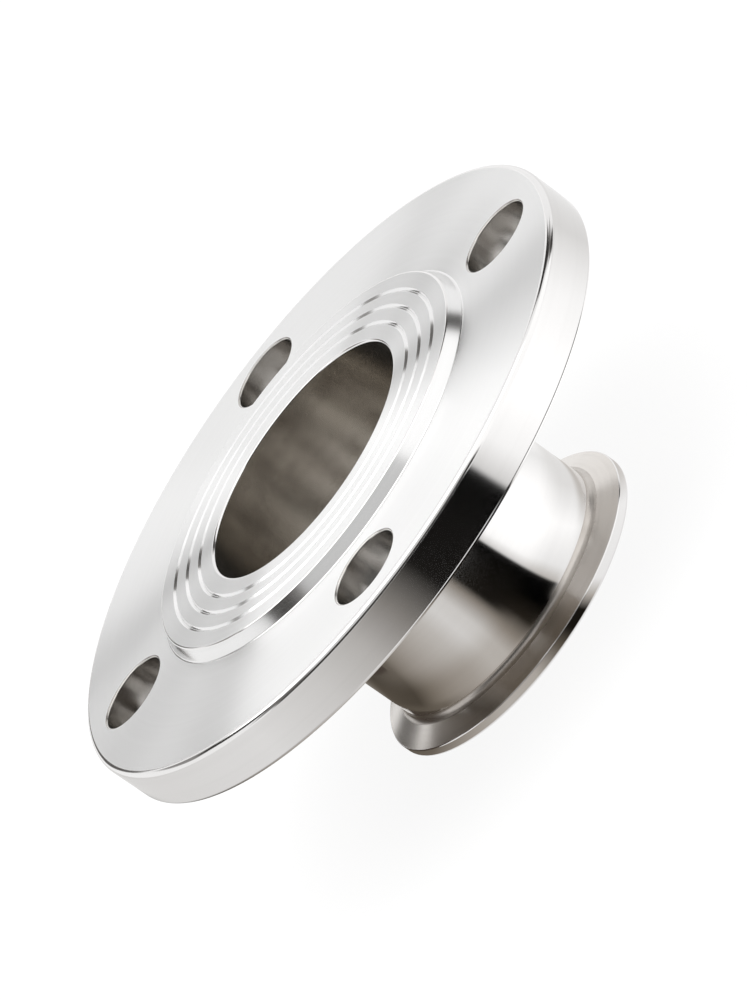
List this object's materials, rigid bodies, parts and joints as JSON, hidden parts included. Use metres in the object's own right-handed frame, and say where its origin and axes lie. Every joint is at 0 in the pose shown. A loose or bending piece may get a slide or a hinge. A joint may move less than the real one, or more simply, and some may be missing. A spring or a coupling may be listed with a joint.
{
  "type": "sanitary clamp flange adapter",
  "caption": "Pipe adapter: a drilled flange with a grooved raised sealing face, a short bored neck and a sanitary clamp ferrule with a bevelled rim.",
  "frame": {"origin": "centre of the clamp face at the bottom, on the bore axis", "axes": "+Z along the bore axis, from the clamp ferrule towards the bolted sealing face; the bolt holes lie halfway between +X and +Y"},
  "size_m": [0.13, 0.13, 0.049],
  "materials": {
    "stainless_steel": "turned faces, polished neck and rims"
  },
  "bodies": {
    "root": {"flange_adapter": "stainless_steel"}
  },
  "joints": []
}
